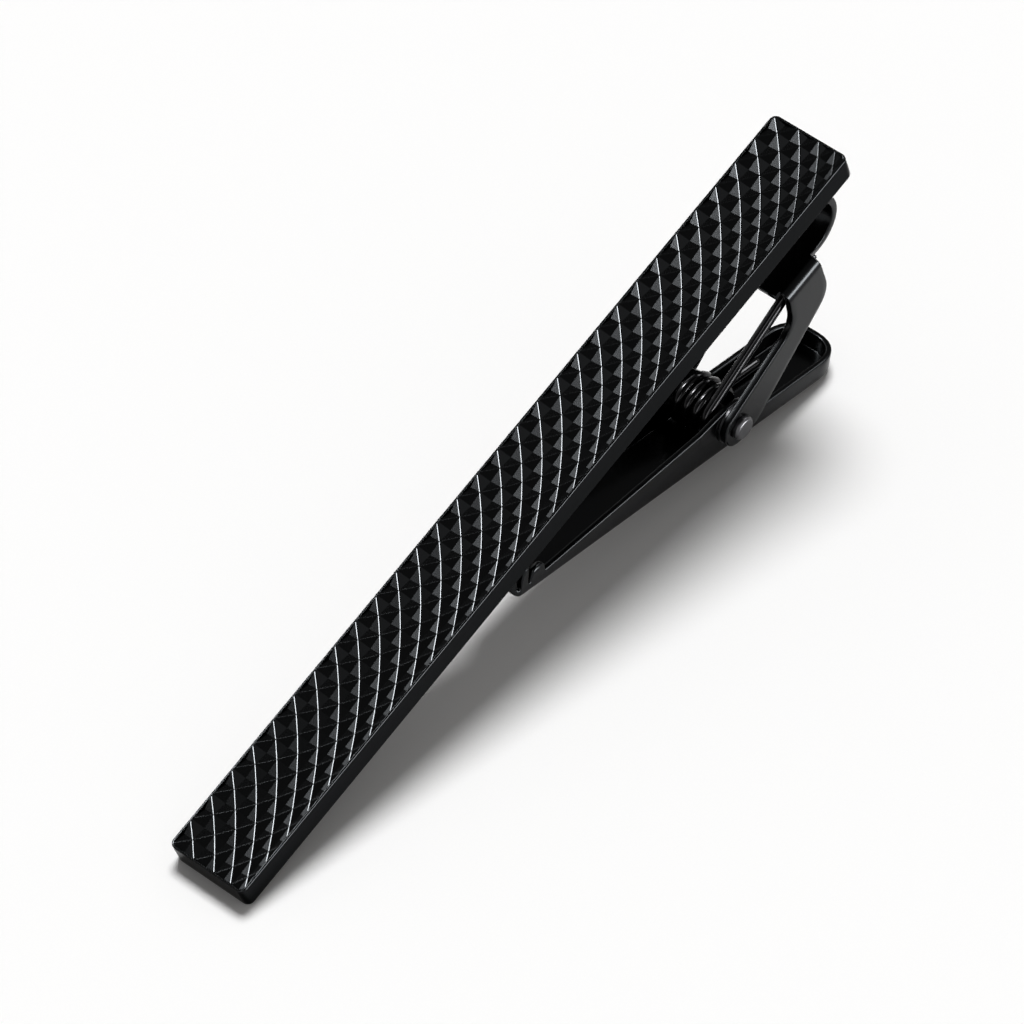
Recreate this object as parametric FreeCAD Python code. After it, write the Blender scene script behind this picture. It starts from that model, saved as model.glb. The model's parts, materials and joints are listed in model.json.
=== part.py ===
import FreeCAD, Part
import math
import os

os.makedirs("parts", exist_ok=True)
V = FreeCAD.Vector
Y_AXIS = V(0, 1, 0)

# All lengths are in millimetres. The clip is drawn with its bar lying along X, the bar's
# back at z = 0 and the hinge end at +X, then set down on the table as it rests.

# Bar: a straight metal bar with rounded corners and a shallow pocket in its front.
bar_length = 60.45
bar_width = 6.0
bar_thickness = 1.95
bar_corner = 0.4
bar_bevel = 0.12
bar_back_break = 0.06
lip_width = 0.1

# Face plate: a pressed sheet of sunk diamonds, set in the pocket. Its rows of half
# diamonds shrink from the far long edge to the near one.
plate_depth = 0.7
plate_clearance = 0.01
stud_pitch = 2.011
stud_start = 2.115
stud_edge = 0.055
stud_first_row = 1.04
stud_row_share = 0.905
stud_depth_share = 0.2

# Hinge bracket: one strip, folded like a hairpin, with an ear bent down on each side.
strip_gauge = 0.5
hairpin_radius = 2.4
hairpin_inset = 1.4
foot_length = 5.5
web_length = 4.45
ear_bend = 0.25
ear_setback = 0.15
ear_width = 3.5
ear_elbow_rise = 2.67
ear_elbow_radius = 1.9
ear_heel = 1.35
ear_heel_radius = 2.0
ear_end_radius = 1.42
ear_brow = 1.17
ear_brow_radius = 1.2
ear_sweep = 0.25
ear_throat_rise = 3.16
ear_throat_radius = 1.8

# Pivot: where the rivet stands, measured from the bar's hinge end and from its back.
pivot_back = 14.65
pivot_drop = 10.72
pin_radius = 0.6
pin_play = 0.03
rivet_fit = 0.01
head_radius = 0.85
head_height = 0.45
head_flat_radius = 0.67
head_step = 0.18
upset_flat_radius = 0.6
spacer_gauge = 0.15
spacer_radius = 1.5
side_play = 0.03

# Clip lever: one pressed tray, jaw at one end, thumb tab at the other.
lever_angle = 27.2
lever_width = 4.6
lever_gauge = 0.4
lever_edge = 0.35
lever_nose_corner = 0.95
jaw_reach = 21.5
jaw_gap = 0.03
pivot_height = 2.35
tip_radius = 1.5
tab_reach = 11.8
tab_round = 2.55
rim_height = 1.65
hump_rise = 1.4
hump_half = 0.75
hump_radius = 1.1
hump_run = 3.2
hump_foot_radius = 1.0
shoulder_run = 3.3
shoulder_height = 3.0
shoulder_radius = 1.5
jaw_wall = 1.07

# Jaw teeth, cut in the edge of each wall behind the tip's lip.
relief_width = 0.4
relief_floor = 0.8
fang_width = 0.65
fang_height = 2.6
tooth_valley = 0.28
valley_floor = 0.9
tooth_width = 1.35
tooth_height = 1.88
tooth_taper = 0.17
tooth_round = 0.4
tooth_root = 0.12

# Torsion spring: round wire, wound on the rivet, a leg at each end.
wire = 0.42
coil_radius = 1.42
coil_pitch = 0.9
coil_turns = 3
leg_bend = 8.0
leg_seat = 4.1
floor_seat = 7.4
seat_clearance = 0.02
quarter_turn = 90.0

# One overrun serves every cut, and points this near to each other count as one.
overrun = 1.0
closeness_share = 1e-6

# Places that follow from the sizes.
lever_half = lever_width / 2
ear_inner = lever_half + side_play + spacer_gauge
ear_outer = ear_inner + strip_gauge
strip_half = ear_inner - ear_bend
pivot_x = bar_length - pivot_back
pivot_z = -pivot_drop
bend_x = bar_length - hairpin_inset - hairpin_radius
web_bottom = -2 * hairpin_radius
web_front = bend_x - web_length
ear_top = web_bottom - ear_bend
plate_inset = bar_bevel + lip_width
tab_end = jaw_reach + tab_reach
tilt = math.radians(lever_angle)


def flat(a, b):
    """A point of a plan, seen along Z."""
    return V(a, b, 0)


def side(a, b):
    """A point of a profile, seen along Y."""
    return V(a, 0, b)


def corner_limit(before, corner, after):
    """Half the shorter side of a corner and the tangent of half its turn."""
    to_before = before - corner
    to_after = after - corner
    half_turn = (math.pi - to_before.getAngle(to_after)) / 2
    room = min(to_before.Length, to_after.Length) / 2
    return room, math.tan(half_turn)


def outline(corners, place):
    """A closed wire through corners (a, b, radius), each rounded as far as its sides allow."""
    points = [place(a, b) for a, b, radius in corners]
    count = len(points)
    starts = []
    ends = []
    arcs = []
    for i in range(count):
        before, corner, after = points[i - 1], points[i], points[(i + 1) % count]
        room, slope = corner_limit(before, corner, after)
        cut = min(corners[i][2] * slope, room)
        if cut == 0:
            starts.append(corner)
            ends.append(corner)
            arcs.append(None)
            continue
        back = (before - corner).normalize()
        ahead = (after - corner).normalize()
        radius = cut / slope
        bisector = (back + ahead).normalize()
        reach = math.hypot(cut, radius)
        starts.append(corner + back * cut)
        ends.append(corner + ahead * cut)
        middle = corner + bisector * (reach - radius)
        arcs.append(Part.Arc(starts[i], middle, ends[i]).toShape())
    edges = []
    for i in range(count):
        if arcs[i]:
            edges.append(arcs[i])
        following = starts[(i + 1) % count]
        if (following - ends[i]).Length > closeness_share * bar_length:
            edges.append(Part.makeLine(ends[i], following))
    return Part.Wire(edges)


def slab(corners, place, start, thickness):
    """A rounded outline, moved to start and given a thickness."""
    face = Part.Face(outline(corners, place))
    face.translate(start)
    return face.extrude(thickness)


def rectangle(x0, x1, half_width, radius):
    """The corners of a rectangle that lies across the X axis."""
    near, far = -half_width, half_width
    return [(x0, near, radius), (x1, near, radius), (x1, far, radius), (x0, far, radius)]


def edges_at(shape, z):
    """The edges of a shape that lie in one level plane."""
    closeness = closeness_share * bar_length
    boxes = [(edge, edge.BoundBox) for edge in shape.Edges]
    return [edge for edge, box in boxes if max(abs(box.ZMin - z), abs(box.ZMax - z)) < closeness]


def plate_plan(clearance):
    """The plan of the pocket in the bar's front, less a clearance."""
    inset = plate_inset + clearance
    return rectangle(inset, bar_length - inset, bar_width / 2 - inset, bar_corner - inset)


def make_bar():
    """The bar, with its front edge bevelled, its back edge broken and the pocket cut."""
    plan = rectangle(0, bar_length, bar_width / 2, bar_corner)
    body = slab(plan, flat, V(0, 0, 0), V(0, 0, bar_thickness))
    body = body.makeChamfer(bar_bevel, edges_at(body, bar_thickness))
    body = body.makeChamfer(bar_back_break, edges_at(body, 0))
    floor = bar_thickness - plate_depth
    return body.cut(slab(plate_plan(0), flat, V(0, 0, floor), V(0, 0, plate_depth + overrun)))


def stud_rows():
    """The places of the half rows, from just inside the far edge to past the near one."""
    rows = [bar_width / 2 - stud_edge]
    step = stud_first_row
    while rows[-1] > plate_inset - bar_width / 2:
        rows.append(rows[-1] - step)
        step = step * stud_row_share
    return rows


def stud_columns():
    """The first column's number and the number past the last, half a pitch apart."""
    half = stud_pitch / 2
    first = -math.ceil(stud_start / half) - 1
    last = math.ceil((bar_length - stud_start) / half) + 1
    return first, last


def make_face_plate():
    """The face plate: crests cross at every other grid point, and the points between are sunk."""
    rows = stud_rows()
    first, last = stud_columns()
    floor = bar_thickness - plate_depth
    grid = {}
    for j, y in enumerate(rows):
        row_size = rows[j - 1] - y if j else stud_first_row
        for i in range(first, last + 1):
            sunk = stud_depth_share * row_size if (i + j) % 2 else 0
            grid[i, j] = V(stud_start + i * stud_pitch / 2, y, bar_thickness - sunk)
    polygons = []
    for j in range(len(rows) - 1):
        for i in range(first, last):
            a, b, c, d = grid[i, j], grid[i + 1, j], grid[i + 1, j + 1], grid[i, j + 1]
            polygons += [[a, c, b], [a, d, c]] if (i + j) % 2 == 0 else [[a, d, b], [b, d, c]]
    end = len(rows) - 1
    rims = [[grid[i, 0] for i in range(first, last + 1)]]
    rims.append([grid[last, j] for j in range(end + 1)])
    rims.append([grid[i, end] for i in range(last, first - 1, -1)])
    rims.append([grid[first, j] for j in range(end, -1, -1)])
    base = []
    for rim in rims:
        start = V(rim[0].x, rim[0].y, floor)
        polygons.append(rim + [V(rim[-1].x, rim[-1].y, floor), start])
        base.append(start)
    polygons.append(base)
    faces = [Part.Face(Part.makePolygon(points + points[:1])) for points in polygons]
    sheet = Part.Solid(Part.Shell(faces))
    sheet = sheet if sheet.Volume > 0 else sheet.reversed()
    below = V(0, 0, floor - overrun)
    height = V(0, 0, plate_depth + 2 * overrun)
    return sheet.common(slab(plate_plan(plate_clearance), flat, below, height))


def strip_profile():
    """The side view of the hairpin: foot on the bar's back, round bend, web below."""
    foot_end = bend_x - foot_length
    inner = hairpin_radius - strip_gauge
    middle = -hairpin_radius
    outer_arc = Part.Arc(side(bend_x, 0), side(bend_x + hairpin_radius, middle), side(bend_x, web_bottom))
    inner_top = side(bend_x, -strip_gauge)
    inner_bottom = side(bend_x, web_bottom + strip_gauge)
    inner_arc = Part.Arc(inner_bottom, side(bend_x + inner, middle), inner_top)
    edges = [Part.makeLine(side(foot_end, 0), side(bend_x, 0)), outer_arc.toShape()]
    edges.append(Part.makeLine(side(bend_x, web_bottom), side(web_front, web_bottom)))
    edges.append(Part.makeLine(side(web_front, web_bottom), side(web_front, web_bottom + strip_gauge)))
    edges.append(Part.makeLine(side(web_front, web_bottom + strip_gauge), inner_bottom))
    edges.append(inner_arc.toShape())
    edges.append(Part.makeLine(inner_top, side(foot_end, -strip_gauge)))
    edges.append(Part.makeLine(side(foot_end, -strip_gauge), side(foot_end, 0)))
    return Part.Face(Part.Wire(edges))


def ear_corners():
    """The side view of one ear: down from the bend, then swept back to the pivot."""
    front = web_front + ear_setback
    back = front + ear_width
    low = pivot_z - ear_end_radius
    end = pivot_x - ear_end_radius
    corners = [(back, ear_top, 0)]
    corners.append((back, pivot_z + ear_elbow_rise, ear_elbow_radius))
    corners.append((pivot_x + ear_heel, low, ear_heel_radius))
    corners.append((end, low, ear_end_radius))
    corners.append((end, pivot_z + ear_brow, ear_brow_radius))
    corners.append((front - ear_sweep, pivot_z + ear_throat_rise, ear_throat_radius))
    corners.append((front, ear_top, 0))
    return corners


def make_ear():
    """The far ear: a quarter bend out of the web's edge and the flat plate below it."""
    front = web_front + ear_setback
    outer = ear_bend + strip_gauge
    centre = V(front, strip_half, ear_top)
    bend = Part.makeCylinder(outer, ear_width, centre, V(1, 0, 0))
    bend = bend.cut(Part.makeCylinder(ear_bend, ear_width, centre, V(1, 0, 0)))
    quarter = Part.makeBox(ear_width, outer, outer, centre)
    plate = slab(ear_corners(), side, V(0, ear_inner, 0), V(0, strip_gauge, 0))
    return plate.fuse(bend.common(quarter))


def make_bracket():
    """The hinge bracket: the folded strip with both ears and the rivet's holes."""
    profile = strip_profile()
    profile.translate(V(0, -strip_half, 0))
    strip = profile.extrude(V(0, 2 * strip_half, 0))
    ear = make_ear()
    twin = ear.mirror(V(0, 0, 0), Y_AXIS)
    start = V(pivot_x, -ear_outer - overrun, pivot_z)
    hole = Part.makeCylinder(pin_radius + rivet_fit, 2 * ear_outer + 2 * overrun, start, Y_AXIS)
    return strip.fuse([ear, twin]).removeSplitter().cut(hole)


def make_spacer(far_side):
    """A flat ring that keeps an ear clear of the lever's wall."""
    start = ear_inner - spacer_gauge if far_side else -ear_inner
    centre = V(pivot_x, start, pivot_z)
    ring = Part.makeCylinder(spacer_radius, spacer_gauge, centre, Y_AXIS)
    return ring.cut(Part.makeCylinder(pin_radius + rivet_fit, spacer_gauge, centre, Y_AXIS))


def make_rivet():
    """The pivot rivet: a made head on the near side, the shank, and an upset head on the far one."""
    near, far = -ear_outer, ear_outer
    profile = [V(0, near - head_height, 0), V(head_flat_radius, near - head_height, 0)]
    profile.append(V(head_radius, near - head_height + head_step, 0))
    profile += [V(head_radius, near, 0), V(pin_radius, near, 0), V(pin_radius, far, 0)]
    profile += [V(head_radius, far, 0), V(upset_flat_radius, far + head_height, 0)]
    profile += [V(0, far + head_height, 0)]
    face = Part.Face(Part.makePolygon(profile + profile[:1]))
    rivet = face.revolve(V(0, 0, 0), Y_AXIS, 360)
    rivet.translate(V(pivot_x, 0, pivot_z))
    return rivet


def bar_level(u):
    """The height on the lever, u from its tip, at which it would meet the bar's back."""
    return pivot_height + (pivot_drop - jaw_gap + (u - jaw_reach) * math.sin(tilt)) / math.cos(tilt)


def lever_profile():
    """The side view of the lever: tip, lip, fang, tooth, rising wall, pivot hump and tab rim."""
    fang = lever_gauge + relief_width
    valley = fang + fang_width
    tooth = valley + tooth_valley
    wall = tooth + tooth_width
    hump_top = pivot_height + hump_rise
    corners = [(0, 0, tip_radius), (tab_end, 0, 0), (tab_end, rim_height, 0)]
    corners.append((jaw_reach + hump_run, rim_height, hump_foot_radius))
    corners.append((jaw_reach + hump_half, hump_top, hump_radius))
    corners.append((jaw_reach - hump_half, hump_top, hump_radius))
    corners.append((jaw_reach - shoulder_run, shoulder_height, shoulder_radius))
    corners.append((wall, jaw_wall, tooth_root))
    corners.append((wall - tooth_taper, tooth_height, tooth_round))
    corners.append((tooth + tooth_taper, tooth_height, tooth_round))
    corners.append((tooth, valley_floor, tooth_root))
    corners.append((valley, valley_floor, tooth_root))
    corners.append((valley - tooth_taper, fang_height, tooth_round))
    corners.append((fang + tooth_taper, fang_height, tooth_round))
    corners.append((fang, relief_floor, tooth_root))
    corners.append((lever_gauge, relief_floor, tooth_root))
    corners.append((lever_gauge, bar_level(lever_gauge), 0))
    corners.append((0, bar_level(0), 0))
    return corners


def tray_plan(inset):
    """The plan of the lever, less an inset: square nose with small corners, elliptic tab end."""
    half = lever_half - inset
    nose = inset
    corner = lever_nose_corner - inset
    start = tab_end - tab_round
    ellipse = Part.Ellipse(V(start, 0, 0), tab_round - inset, half)
    tab = Part.Arc(ellipse, -math.pi / 2, math.pi / 2).toShape()
    diagonal = corner * (1 - math.sqrt(1 / 2))
    near_middle = flat(nose + diagonal, diagonal - half)
    far_middle = flat(nose + diagonal, half - diagonal)
    near_arc = Part.Arc(flat(nose, corner - half), near_middle, flat(nose + corner, -half))
    far_arc = Part.Arc(flat(nose + corner, half), far_middle, flat(nose, half - corner))
    edges = [near_arc.toShape(), Part.makeLine(flat(nose + corner, -half), flat(start, -half)), tab]
    edges += [Part.makeLine(flat(start, half), flat(nose + corner, half)), far_arc.toShape()]
    edges.append(Part.makeLine(flat(nose, half - corner), flat(nose, corner - half)))
    return Part.Face(Part.Wire(edges))


def lever_place(shape):
    """Moves a shape drawn on the lever to its place under the bar."""
    shape.translate(V(-jaw_reach, 0, -pivot_height))
    shape.rotate(V(0, 0, 0), Y_AXIS, lever_angle)
    shape.translate(V(pivot_x, 0, pivot_z))
    return shape


def make_lever():
    """The clip lever: a tray with rounded edges, trimmed to its side view and drilled for the rivet."""
    height = max(bar_level(lever_gauge), pivot_height + hump_rise) + overrun
    tray = tray_plan(0).extrude(V(0, 0, height))
    tray = tray.makeFillet(lever_edge, edges_at(tray, 0))
    hollow = tray_plan(lever_gauge).extrude(V(0, 0, height))
    hollow.translate(V(0, 0, lever_gauge))
    inner = [(lever_gauge, lever_gauge, tip_radius - lever_gauge), (tab_end, lever_gauge, 0)]
    inner += [(tab_end, height + overrun, 0), (lever_gauge, height + overrun, 0)]
    across = V(0, -lever_width, 0)
    through = V(0, 2 * lever_width, 0)
    hollow = hollow.common(slab(inner, side, across, through))
    lever = tray.cut(hollow).common(slab(lever_profile(), side, across, through))
    drill = V(jaw_reach, -lever_width, pivot_height)
    lever = lever.cut(Part.makeCylinder(pin_radius + pin_play, 2 * lever_width, drill, Y_AXIS))
    return lever_place(lever)


def arc_from(start, tangent, end):
    """The arc that leaves start along tangent and comes to end."""
    chord = end - start
    rise = tangent - chord * (tangent.dot(chord) / chord.dot(chord))
    angle = tangent.getAngle(chord)
    middle = start + chord * 0.5 + rise.normalize() * (chord.Length / 2 * math.tan(angle / 2))
    return Part.Arc(start, middle, end).toShape()


def biarc(p0, t0, p1, t1):
    """Two arcs that join p0 to p1 and keep both directions."""
    v = p1 - p0
    along = v.dot(t0 + t1)
    turn = 2 * (1 - t0.dot(t1))
    reach = (math.sqrt(along * along + turn * v.dot(v)) - along) / turn
    joint = (p0 + p1 + (t0 - t1) * reach) * 0.5
    between = (v - (t0 + t1) * reach).normalize()
    return [arc_from(p0, t0, joint), arc_from(joint, between, p1)]


def tangent_angle(seat_x, seat_z, sign):
    """The angle on the coil at which a straight leg to a seat leaves it."""
    run, rise = seat_x - pivot_x, seat_z - pivot_z
    return math.atan2(rise, run) + sign * math.acos(coil_radius / math.hypot(run, rise))


def coil_point(angle, y):
    """A point of the coil's centre line."""
    return V(pivot_x + coil_radius * math.cos(angle), y, pivot_z + coil_radius * math.sin(angle))


def leg_start(start, heading):
    """Where a leg turns straight, past a slight bend that takes out the coil's slope."""
    level = V(heading.x, 0, heading.z).normalize()
    lean = math.atan2(heading.y, math.hypot(heading.x, heading.z))
    rise = leg_bend * (1 - math.cos(lean))
    return start + level * (leg_bend * math.sin(abs(lean))) + V(0, math.copysign(rise, lean), 0), level


def spring_route():
    """The edges of the spring's centre line: leg under the web, turns, leg on the lever's floor."""
    web_x = web_front + leg_seat
    web_z = web_bottom - wire / 2 - seat_clearance
    seat = lever_place(Part.Vertex(jaw_reach + floor_seat, 0, lever_gauge + wire / 2 + seat_clearance))
    start = tangent_angle(web_x, web_z, 1)
    stop = tangent_angle(seat.X, seat.Z, -1)
    while stop < start:
        stop += 2 * math.pi
    sweep = stop - start + 2 * math.pi * coil_turns
    count = math.ceil(sweep / math.radians(quarter_turn))
    step = sweep / count
    slope = coil_pitch / (2 * math.pi * coil_radius)
    points = []
    for i in range(count + 1):
        angle = start + i * step
        heading = V(-math.sin(angle), slope, math.cos(angle)).normalize()
        y = coil_pitch * (i / count - 1 / 2) * sweep / (2 * math.pi)
        points.append((coil_point(angle, y), heading))
    coil_start, coil_end = points[0], points[-1]
    first, level = leg_start(coil_start[0], coil_start[1] * -1)
    edges = [Part.makeLine(V(web_x, first.y, web_z), first), arc_from(first, level * -1, coil_start[0])]
    for (p0, t0), (p1, t1) in zip(points, points[1:]):
        edges += biarc(p0, t0, p1, t1)
    last, level = leg_start(*coil_end)
    return edges + [arc_from(*coil_end, last), Part.makeLine(last, V(seat.X, last.y, seat.Z))]


def least_gap(edges):
    """The least gap between turns of the wire, measured on points along its centre line."""
    points = []
    for edge in edges:
        points += edge.discretize(Distance=wire / 2)[1:]
    half_turn = int(math.pi * coil_radius / (wire / 2))
    nearest = min((p - q).Length for i, p in enumerate(points) for q in points[i + half_turn:])
    return nearest - wire


def make_spring():
    """The torsion spring: round wire drawn along its route."""
    edges = spring_route()
    print("least gap between turns of torsion_spring: %.3f mm" % least_gap(edges))
    route = Part.Wire(Part.__sortEdges__(edges))
    tip = edges[0].Vertexes[0].Point
    heading = edges[0].Vertexes[-1].Point - tip
    section = Part.Wire(Part.makeCircle(wire / 2, tip, heading))
    pipe = Part.BRepOffsetAPI.MakePipeShell(route)
    pipe.add(section)
    pipe.build()
    pipe.makeSolid()
    return pipe.shape()


def rest_tilt():
    """How far the bar leans at rest, on its free end and on the thumb tab's end."""
    toe = lever_place(Part.Vertex(tab_end - lever_edge, 0, lever_edge))
    run, rise = toe.X - bar_back_break, toe.Z
    return math.degrees(math.asin(lever_edge / math.hypot(run, rise)) - math.atan2(rise, run))


pieces = {}
pieces["bar"] = make_bar()
pieces["face_plate"] = make_face_plate()
pieces["hinge_bracket"] = make_bracket()
pieces["clip_lever"] = make_lever()
pieces["pivot_rivet"] = make_rivet()
pieces["near_spacer"] = make_spacer(False)
pieces["far_spacer"] = make_spacer(True)
pieces["torsion_spring"] = make_spring()

lean = rest_tilt()
for shape in pieces.values():
    shape.rotate(V(0, 0, 0), Y_AXIS, -lean)
box = FreeCAD.BoundBox()
for shape in pieces.values():
    box.add(shape.optimalBoundingBox(False))
shift = V(-box.Center.x, -box.Center.y, -box.ZMin)
pivot = Part.Vertex(pivot_x, 0, pivot_z)
pivot.rotate(V(0, 0, 0), Y_AXIS, -lean)
pivot.translate(shift)
for name, shape in pieces.items():
    shape.translate(shift)
    shape.exportStep("parts/" + name + ".step")
    state = (name, shape.Volume, shape.isValid(), len(shape.Solids))
    print("%s: volume %.3f mm3, valid %s, solids %d" % state)
print("lean at rest %.3f degrees" % lean)
print("pivot at %.4f %.4f %.4f mm" % (pivot.X, pivot.Y, pivot.Z))
print("size %.3f x %.3f x %.3f mm" % (box.XLength, box.YLength, box.ZLength))
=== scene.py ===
import json
import math

import bmesh
import bpy
import numpy as np
from bpy.props import FloatProperty, FloatVectorProperty, IntProperty, PointerProperty
from mathutils import Matrix, Quaternion, Vector


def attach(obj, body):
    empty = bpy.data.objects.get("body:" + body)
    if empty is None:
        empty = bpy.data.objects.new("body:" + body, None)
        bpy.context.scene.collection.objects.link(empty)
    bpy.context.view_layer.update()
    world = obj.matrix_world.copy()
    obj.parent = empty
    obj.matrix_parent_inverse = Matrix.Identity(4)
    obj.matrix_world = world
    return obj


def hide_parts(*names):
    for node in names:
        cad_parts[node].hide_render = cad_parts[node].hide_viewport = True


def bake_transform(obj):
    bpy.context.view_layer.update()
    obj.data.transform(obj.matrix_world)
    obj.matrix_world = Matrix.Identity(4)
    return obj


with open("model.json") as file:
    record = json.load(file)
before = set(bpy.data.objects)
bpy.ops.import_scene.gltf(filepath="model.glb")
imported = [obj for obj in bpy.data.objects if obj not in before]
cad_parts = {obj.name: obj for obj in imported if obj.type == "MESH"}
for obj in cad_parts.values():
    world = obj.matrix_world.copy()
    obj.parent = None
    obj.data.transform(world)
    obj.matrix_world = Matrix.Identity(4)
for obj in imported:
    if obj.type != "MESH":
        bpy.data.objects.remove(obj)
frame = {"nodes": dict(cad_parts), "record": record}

bl_info = {
    "name": "Tie clip dressing",
    "version": (1, 0, 0),
    "blender": (4, 5, 0),
    "location": "3D View > Sidebar > Tie clip",
    "description": "Dresses a sprung tie clip in black plating, with its diamond face and its wire spring",
    "category": "Object",
}

MM = 0.001
MERGE = 1e-8
TINY = 1e-9
QUARTER = math.pi / 2
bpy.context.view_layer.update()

# The clip's set-up: the pivot, the bar's lean on the paper and the lever's angle to the bar.
PIVOT = np.array(frame["record"]["behaviour"]["joints"][0]["pos_m"])
LEAN = math.radians(18.214)
LEVER_TURN = math.radians(27.2)

# The bar's free end on its back, seen from the pivot, and the pivot, seen from the lever's tip.
BAR_ORIGIN = np.array([-45.8, 0, 10.72]) * MM
LEVER_PIVOT = np.array([21.5, 0, 2.35]) * MM


def hex_colour(text):
    """An sRGB hex value as linear light."""
    srgb = np.array([int(text[i:i + 2], 16) for i in (1, 3, 5)]) / 255
    return tuple(np.where(srgb <= 0.04045, srgb / 12.92, ((srgb + 0.055) / 1.055) ** 2.4).tolist())


def size(name, description, millimetres):
    """A length property, given in millimetres."""
    return FloatProperty(
        name=name, description=description, default=millimetres * MM, unit="LENGTH", precision=6)


def colour(name, description, text):
    """A colour property, given as an sRGB hex value."""
    return FloatVectorProperty(
        name=name, description=description, default=hex_colour(text), subtype="COLOR", size=3, min=0, max=1)


def angle(name, description, degrees):
    """An angle property, given in degrees."""
    return FloatProperty(name=name, description=description, default=math.radians(degrees), subtype="ANGLE")


def share(name, description, value):
    """A part of one, as a property."""
    return FloatProperty(name=name, description=description, default=value, subtype="FACTOR", min=0, max=1)


def strength(name, description, value):
    """A light's strength, as a property."""
    return FloatProperty(name=name, description=description, default=value)


class ClipFinish(bpy.types.PropertyGroup):
    """Colours and softness of the plated metal."""

    plating: colour("Plating", "Black nickel on the bar, bracket and lever", "#202122")
    rivet: colour("Rivet", "Black nickel on the rivet, polished thin by its heading", "#4c4c4e")
    wire: colour("Wire", "Blackened spring steel", "#2a2a2b")
    polish: share("Polish roughness", "Roughness of the polished bar", 0.16)
    stamping: share("Sheet roughness", "Roughness of the stamped sheet", 0.22)
    heading: share("Rivet roughness", "Roughness of the headed rivet", 0.34)
    drawing: share("Wire roughness", "Roughness of the drawn wire", 0.19)
    lacquer: share("Bar shine", "Shine of the polished bar at a low angle", 0.5)
    strip_shine: share("Bracket shine", "Shine of the bracket at a low angle", 0.85)
    tray_shine: share("Lever shine", "Shine of the lever at a low angle", 0.75)
    bare_shine: share("Rivet and wire shine", "Shine of the rivet and the wire at a low angle", 1.0)
    paper: colour("Paper", "The sheet that the clip lies on", "#fbfbfb")
    sky: colour("Sky", "Tint of the light from all round", "#fefcfa")
    lamp: colour("Lamp", "Tint of the overhead light", "#fefefe")


class BarSizes(bpy.types.PropertyGroup):
    """The solid bar with a pocket in its front."""

    length: size("Length", "Length of the bar", 60.45)
    width: size("Width", "Width of the bar", 6.0)
    thickness: size("Thickness", "Thickness of the bar", 1.95)
    corner: size("Corner", "Radius of the bar's corners", 0.5)
    front_edge: size("Front edge", "Rounding of the front edge", 0.11)
    back_edge: size("Back edge", "Rounding of the back edge", 0.08)
    lip: size("Lip", "Width of the lip with its rounding, from the wall to the pocket", 0.17)
    lip_break: size("Lip break", "Small bevel between the lip and the pocket", 0.02)
    pocket: size("Pocket", "Depth of the pocket", 0.7)


class FaceSizes(bpy.types.PropertyGroup):
    """The pressed face of sunk diamonds, whose rows shrink from the far edge to the near one."""

    pitch: size("Pitch", "Distance between diamonds along the bar", 2.011)
    start: size("Start", "First crest crossing on the far edge, from the bar's free end", 2.115)
    edge: size("Edge", "Distance of the first crossings from the bar's far edge", 0.055)
    first_row: size("First half row", "Height of the half row at the far edge", 1.04)
    row_share: share("Row share", "Each half row's height as a share of the one before", 0.905)
    depth_share: share("Depth share", "Depth of a pit as a share of its row's height", 0.2)
    crest: size("Crest rounding", "Width of the rounding on each side of a rising crest", 0.09)
    fall_share: share("Fall share", "Rounding of a falling crest as a share of a rising one's", 0.3)
    clearance: size("Clearance", "Gap between the plate and its pocket", 0.01)


class BracketSizes(bpy.types.PropertyGroup):
    """The folded strip with two ears."""

    gauge: size("Gauge", "Thickness of the strip", 0.5)
    half_width: size("Half width", "Half the width of the strip", 2.23)
    hairpin: size("Hairpin radius", "Outer radius of the hairpin bend", 2.4)
    ear_bend: size("Ear bend", "Inner radius of the bend into an ear", 0.25)
    edge: size("Edge", "Rounding of the sheet's edges", 0.07)


class LeverSizes(bpy.types.PropertyGroup):
    """The tray-shaped lever."""

    half_width: size("Half width", "Half the width of the lever", 2.3)
    gauge: size("Gauge", "Thickness of the sheet", 0.4)
    fillet: size("Fillet", "Rounding between the floor and the walls", 0.45)
    tip_fillet: size("Tip fillet", "The same rounding at the tip", 0.05)
    nose_corner: size("Nose corner", "Radius of the nose's corners", 0.95)
    tip: size("Tip radius", "Radius of the tip, seen from the side", 1.5)
    tab_round: size("Tab round", "Length of the tab's rounded end", 2.55)
    reach: size("Reach", "Distance from the tip to the tab's end", 33.3)
    edge: size("Edge", "Rounding of the sheet's edges", 0.1)


class SpringSizes(bpy.types.PropertyGroup):
    """The torsion spring wound on the rivet."""

    wire: size("Wire", "Diameter of the wire", 0.7)
    radius: size("Coil radius", "Radius of the coil at the wire's middle", 1.55)
    pitch: size("Coil pitch", "Distance between turns", 0.77)
    splay: size("Leg splay", "Sideways lean of the upper leg", 0.6)
    turns: IntProperty(name="Turns", description="Whole turns between the legs", default=3, min=1)


class StageSettings(bpy.types.PropertyGroup):
    """Camera and light."""

    azimuth: angle("Azimuth", "Direction that the camera looks from", -49.782)
    elevation: angle("Elevation", "Height of the camera", 48.268)
    roll: angle("Roll", "Turn of the camera about its own axis", 0.207)
    distance: FloatProperty(
        name="Distance", description="Distance from the camera to its target", unit="LENGTH", default=0.43724)
    lens: FloatProperty(name="Lens", description="Focal length in millimetres", default=248.18)
    overhead: strength("Overhead", "Strength of the soft overhead light", 2.75)
    panels: strength("Panels", "Strength of the panels that the metal mirrors", 1.0)
    ceiling: strength("Ceiling", "Strength of the dim ceiling", 0.2)


def add(tree, kind, values=None, links=None, **settings):
    """Adds a node, sets its attributes and socket values, and links sockets into it."""
    node = tree.nodes.new(kind)
    for name, value in settings.items():
        setattr(node, name, value)
    for name, value in (values or {}).items():
        node.inputs[name].default_value = value
    for name, socket in (links or {}).items():
        tree.links.new(socket, node.inputs[name])
    return node


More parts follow.
